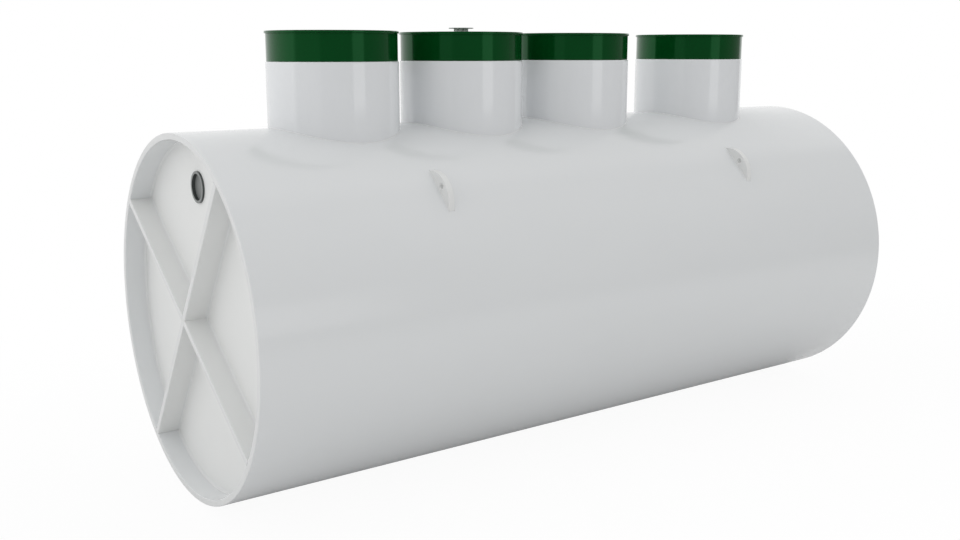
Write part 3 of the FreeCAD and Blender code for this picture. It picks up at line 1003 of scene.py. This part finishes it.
@dataclass
class LiftingLug:
    """A half-moon plate across the tank's shoulder, with a shackle hole and a weld at its foot."""

    end: End
    flank: Flank
    wall: TankWall
    lean: float = math.radians(46)
    disc_radius: float = 140 * MM
    rise: float = 55 * MM
    hole_radius: float = 13 * MM
    hole_rise: float = 24 * MM
    edge: float = 3 * MM
    hole_edge: float = 1.5 * MM
    sink: float = 1 * MM
    weld_leg: float = 4 * MM
    arc_cells: int = 64
    foot_cells: int = 32

    def __post_init__(self) -> None:
        """Take the lug's place and thickness from its node, and find the horns of the half moon.

        The horns are where the disc's circle crosses the tank's.
        """
        self.word = f"lug_{self.end.word}_{self.flank.name.lower()}"
        low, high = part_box(self.word)
        self.place = (low.x + high.x) / 2
        self.half = (high.x - low.x) / 2
        self.foot_radius = self.wall.radius - self.sink
        self.disc_height = self.wall.radius + self.rise - self.disc_radius
        square = self.foot_radius**2 - self.disc_radius**2 + self.disc_height**2
        self.horn_height = square / (2 * self.disc_height)
        self.horn_side = math.sqrt(self.foot_radius**2 - self.horn_height**2)

    def stand(self, along: np.ndarray, side: np.ndarray, height: np.ndarray) -> np.ndarray:
        """Turn points from an upright lug about the tank's axis to the lug's place on the shoulder.

        Args:
            along: How far the points lie from the lug's middle plane, along X.
            side: How far they lie to the side.
            height: How far they lie above the tank's axis.

        Returns:
            The points in the part's frame.
        """
        tilt = self.flank.value * self.lean
        y = side * math.cos(tilt) + height * math.sin(tilt)
        z = -side * math.sin(tilt) + height * math.cos(tilt)
        return joined(self.place + along, y, self.wall.radius + z)

    def plate(self) -> Surface:
        """Carry a rounded section round the hole, from the hole's edge out to the plate's outline.

        In each direction from the hole's middle the outline is where a ray first meets the disc's
        circle from within or the tank's circle from outside. The rays are spaced evenly between
        the two horns, over the arc and along the foot.

        Returns:
            The plate.
        """
        middle = self.wall.radius + self.hole_rise
        horn = math.atan2(self.horn_height - middle, self.horn_side)
        over = np.linspace(horn, math.pi - horn, self.arc_cells, endpoint=False)
        under = np.linspace(math.pi - horn, 2 * math.pi + horn, self.foot_cells + 1)
        angle = np.concatenate((over, under))
        lift = middle - self.disc_height
        slope = lift * np.sin(angle)
        to_disc = -slope + np.sqrt(slope**2 - lift**2 + self.disc_radius**2)
        slope = middle * np.sin(angle)
        inside = slope**2 - middle**2 + self.foot_radius**2
        to_tank = np.where((slope < 0) & (inside > 0), -slope - np.sqrt(np.maximum(inside, 0)), np.inf)
        reach = np.minimum(to_disc, to_tank)
        section = rounded([
            (0, -self.half, self.hole_edge),
            (1, -self.half, self.edge),
            (1, self.half, self.edge),
            (0, self.half, self.hole_edge),
        ])
        share = np.round(section[:, 0])[:, None]
        offset = section[:, :1] - share
        distance = closed((1 - share) * self.hole_radius + share * reach + offset)
        along = closed(section[:, 1:])
        return grid(self.stand(along, distance * np.cos(angle), middle + distance * np.sin(angle)))

    def welds(self) -> Surface:
        """Run a bead along the foot on both faces of the plate.

        Returns:
            The two beads.
        """
        span = math.asin(self.horn_side / self.foot_radius)
        angle = np.linspace(-span, span, self.foot_cells + 1)
        radius = self.wall.radius
        origin = self.stand(np.array(0.0), np.array(0.0), np.array(0.0))
        up = self.stand(np.zeros_like(angle), np.sin(angle), np.cos(angle)) - origin
        strips = []
        for face in (-1, 1):
            path = self.stand(np.array(face * self.half), radius * np.sin(angle), radius * np.cos(angle))
            out = np.array((face, 0.0, 0.0))
            strips.append(bead(path, up, out, self.weld_leg))
        return strips[0] + strips[1]

    def build(self) -> None:
        """Make the lug's two pieces."""
        # The lug's plate is made in the lighter plate white: painted light.
        add_piece(f"{self.word}_plate", self.plate(), PLATE_PAINTED_LIGHT_WHITE, (self.word,))
        add_piece(f"{self.word}_welds", self.welds(), WELD_WHITE)


@dataclass(frozen=True)
class SoftBox:
    """A flat studio lamp of an even radiance; one that isn't mirrored doesn't show in reflections."""

    name: str
    place: tuple[float, float, float]
    aim: tuple[float, float, float]
    width: float
    height: float
    radiance: float
    mirrored: bool = True

    def build(self) -> None:
        """Hang the lamp; its power is pi times its area times its radiance."""
        light = bpy.data.lights.new(self.name, "AREA")
        light.shape = "RECTANGLE"
        light.size, light.size_y = self.width, self.height
        light.energy = math.pi * self.width * self.height * self.radiance
        lamp = bpy.data.objects.new(self.name, light)
        lamp.location = self.place
        lamp.rotation_euler = (Vector(self.aim) - lamp.location).to_track_quat("-Z", "Y").to_euler()
        lamp.visible_camera = False
        lamp.visible_glossy = self.mirrored
        bpy.context.scene.collection.objects.link(lamp)


@dataclass(frozen=True)
class Ramp:
    """A soft change from one level to another while a value grows.

    Args:
        start: The value at which the change begins.
        full: The value at which it is complete.
        low: The level before it.
        high: The level after it.
    """

    start: float
    full: float
    low: float = 0.0
    high: float = 1.0

    def add(self, tree: bpy.types.NodeTree, value: bpy.types.NodeSocket) -> bpy.types.NodeSocket:
        """Add the ramp to a node tree.

        Args:
            tree: The tree.
            value: The output that holds the value.

        Returns:
            The output that holds the level.
        """
        ends = {"From Min": self.start, "From Max": self.full, "To Min": self.low, "To Max": self.high}
        settings = {"interpolation_type": "SMOOTHSTEP"} | ends
        return add_node(tree, "MapRange", settings, {"Value": value}).outputs["Result"]


@dataclass(frozen=True)
class Surroundings:
    """How bright one kind of ray finds the surroundings.

    Args:
        front_low: The room on the camera's side, at eye level.
        front_high: The ceiling on that side.
        back_low: The pale backdrop behind the object.
        back_high: The ceiling above the backdrop.
        ceiling: The heights of a direction between which eye level goes over into the ceiling.
        backdrop: The values of facing between which the room goes over into the backdrop.
    """

    front_low: float
    front_high: float
    back_low: float
    back_high: float
    ceiling: tuple[float, float] = (0.2, 0.85)
    backdrop: tuple[float, float] = (0.03, 0.23)

    def strength(
        self, tree: bpy.types.NodeTree, facing: bpy.types.NodeSocket, height: bpy.types.NodeSocket
    ) -> bpy.types.NodeSocket:
        """Blend eye level softly into the ceiling on both sides, and the room into the backdrop.

        Args:
            tree: The world's node tree.
            facing: How far a direction points to the backdrop, from -1 to 1.
            height: How far a direction points up, from -1 to 1.

        Returns:
            The output that holds the brightness.
        """
        links = {
            FACTOR: Ramp(*self.backdrop).add(tree, facing),
            NUMBER_A: Ramp(*self.ceiling, self.front_low, self.front_high).add(tree, height),
            NUMBER_B: Ramp(*self.ceiling, self.back_low, self.back_high).add(tree, height),
        }
        return add_node(tree, "Mix", {"data_type": "FLOAT"}, links).outputs[NUMBER_OUT]


@dataclass
class Studio:
    """The camera, the soft light, the white surroundings and the floor."""

    lens_mm: float = 40.0
    eye: tuple[float, float, float] = (-3.611, -4.624, 2.057)
    heading: float = math.radians(35.24)
    dip: float = math.radians(11.65)
    backdrop_heading: float = math.radians(92)
    backdrop_lean: float = 0.32
    mirrored: Surroundings = Surroundings(front_low=0.29, front_high=0.36, back_low=0.95, back_high=0.65)
    filling: Surroundings = Surroundings(front_low=0.72, front_high=0.82, back_low=1.0, back_high=1.05)
    floor_half: float = 10.0
    floor_colour: str = "#E6E6E6"
    seen_glow: Ramp = Ramp(start=0.1, full=3.5, low=0.95, high=1.0)
    mirrored_glow: Ramp = Ramp(start=0.3, full=6.0, low=0.12, high=0.5)
    floor_fade: Ramp = Ramp(start=1.5, full=9.0, low=1.0, high=0.0)
    lamps: tuple[SoftBox, ...] = (
        SoftBox(
            "left_key_box", place=(-8.0, 1.5, 2.6), aim=(-1.5, 0.0, 1.0), width=4.5, height=4.5,
            radiance=0.34, mirrored=False,
        ),
        SoftBox(
            "left_flat", place=(-11.6, -3.1, 2.8), aim=(0.0, 0.0, 2.0), width=10.6, height=5.5,
            radiance=0.15,
        ),
        SoftBox(
            "far_strip", place=(8.0, -28.9, 4.3), aim=(0.0, 0.0, 4.3), width=11.1, height=8.4,
            radiance=0.63,
        ),
    )

    def add_camera(self) -> None:
        """Stand the camera at the photograph's viewpoint, heading from +Y towards +X and dipped."""
        data = bpy.data.cameras.new("photo_camera")
        data.lens = self.lens_mm
        camera = bpy.data.objects.new("photo_camera", data)
        ahead = math.cos(self.dip)
        forward = (math.sin(self.heading) * ahead, math.cos(self.heading) * ahead, -math.sin(self.dip))
        camera.location = self.eye
        camera.rotation_euler = Vector(forward).to_track_quat("-Z", "Y").to_euler()
        bpy.context.scene.collection.objects.link(camera)
        bpy.context.scene.camera = camera

    def add_world(self) -> None:
        """Surround the object with a pale backdrop, a dimmer room in front of it and a ceiling.

        The camera sees plain white. Reflections see the surroundings with their full contrast, and
        the soft fill light comes from closer levels.
        """
        world = bpy.data.worlds.new("pale_studio")
        bpy.context.scene.world = world
        world.use_nodes = True
        tree = world.node_tree
        tree.nodes.clear()
        way = add_node(tree, "TexCoord", {}, {}).outputs["Generated"]
        toward = (math.cos(self.backdrop_heading), math.sin(self.backdrop_heading), self.backdrop_lean)
        along = add_node(tree, "VectorMath", {"operation": "DOT_PRODUCT", 1: toward}, {0: way})
        facing = along.outputs["Value"]
        height = add_node(tree, "SeparateXYZ", {}, {"Vector": way}).outputs["Z"]
        rays = add_node(tree, "LightPath", {}, {}).outputs
        mirrored = self.mirrored.strength(tree, facing, height)
        filling = self.filling.strength(tree, facing, height)
        room = add_node(
            tree, "Mix", {"data_type": "FLOAT"},
            {FACTOR: rays["Is Glossy Ray"], NUMBER_A: filling, NUMBER_B: mirrored},
        )
        seen = add_node(
            tree, "Math", {"operation": "MAXIMUM"},
            {0: rays["Is Camera Ray"], 1: rays["Is Transmission Ray"]},
        )
        strength = add_node(
            tree, "Mix", {"data_type": "FLOAT", NUMBER_B: 1.0},
            {FACTOR: seen.outputs[0], NUMBER_A: room.outputs[NUMBER_OUT]},
        )
        links = {"Strength": strength.outputs[NUMBER_OUT]}
        white = add_node(tree, "Background", {"Color": WHITE}, links)
        add_node(tree, "OutputWorld", {}, {"Surface": white.outputs[0]})

    def floor_paper(self) -> bpy.types.Material:
        """Make the floor's pale matt paper, which takes the object's shadow.

        Away from the tank's footprint it glows white, so that it runs into the white surroundings:
        for the camera from close by, and in reflections from further out. Towards its edge it thins
        out for all light but the camera's, so that no edge shows in the tank's gloss.

        Returns:
            The material.
        """
        material = bpy.data.materials.new("studio_paper_pale")
        material.use_nodes = True
        tree = material.node_tree
        tree.nodes.clear()
        rays = add_node(tree, "LightPath", {}, {}).outputs
        outside = add_node(tree, "TexCoord", {}, {}).outputs["Object"]
        tank = (CAD_BOX[1].x, 0, 0)
        for settings in (
            {"operation": "ABSOLUTE"},
            {"operation": "SUBTRACT", 1: tank},
            {"operation": "MAXIMUM", 1: (0, 0, 0)},
        ):
            outside = add_node(tree, "VectorMath", settings, {0: outside}).outputs["Vector"]
        away = add_node(tree, "VectorMath", {"operation": "LENGTH"}, {0: outside})
        ramps = (self.seen_glow, self.mirrored_glow, self.floor_fade)
        seen_glow, mirrored_glow, fade = (ramp.add(tree, away.outputs["Value"]) for ramp in ramps)
        seen = add_node(
            tree, "Math", {"operation": "MAXIMUM"},
            {0: rays["Is Camera Ray"], 1: rays["Is Transmission Ray"]},
        )
        mirrored = add_node(
            tree, "Math", {"operation": "MULTIPLY"}, {0: rays["Is Glossy Ray"], 1: mirrored_glow}
        )
        amount = add_node(
            tree, "Mix", {"data_type": "FLOAT"},
            {FACTOR: seen.outputs[0], NUMBER_A: mirrored.outputs[0], NUMBER_B: seen_glow},
        )
        paper = add_node(tree, "BsdfDiffuse", {"Color": linear(self.floor_colour)}, {})
        white = add_node(tree, "Emission", {"Color": WHITE, "Strength": 1.0}, {})
        links = {0: amount.outputs[NUMBER_OUT], 1: paper.outputs[0], 2: white.outputs[0]}
        sheet = add_node(tree, "MixShader", {}, links)
        solid = add_node(tree, "Math", {"operation": "MAXIMUM"}, {0: seen.outputs[0], 1: fade})
        clear = add_node(tree, "BsdfTransparent", {}, {})
        links = {0: solid.outputs[0], 1: clear.outputs[0], 2: sheet.outputs[0]}
        both = add_node(tree, "MixShader", {}, links)
        add_node(tree, "OutputMaterial", {}, {"Surface": both.outputs[0]})
        return material

    def add_floor(self) -> None:
        """Lay the floor: a flat square of paper."""
        mesh = bpy.data.meshes.new("studio_floor")
        side = np.array((-1.0, 1.0)) * self.floor_half
        sheet = grid(joined(side, side[:, None], 0.0))
        mesh.from_pydata(sheet.points.tolist(), [], sheet.faces.tolist())
        mesh.materials.append(self.floor_paper())
        floor = bpy.data.objects.new("studio_floor", mesh)
        bpy.context.scene.collection.objects.link(floor)

    def build(self) -> None:
        """Set up the whole studio."""
        bpy.context.scene.view_settings.view_transform = "Standard"
        self.add_camera()
        self.add_world()
        self.add_floor()
        for lamp in self.lamps:
            lamp.build()


def main() -> None:
    """Build the sub-assemblies in order, then the studio around them."""
    logging.basicConfig(level=logging.INFO, format="%(message)s")
    tank_radius = top_of("shell_crown_1") / 2
    necks = [AccessNeck(number, number == VENTED_NECK, tank_radius) for number in NECK_NUMBERS]
    wall = TankWall(necks)
    wall.build()
    for neck in necks:
        neck.build()
    LidVent().build()
    for end in End:
        TankEnd(end, wall).build()
        for flank in Flank:
            LiftingLug(end, flank, wall).build()
    Studio().build()


if __name__ == "__main__":
    main()
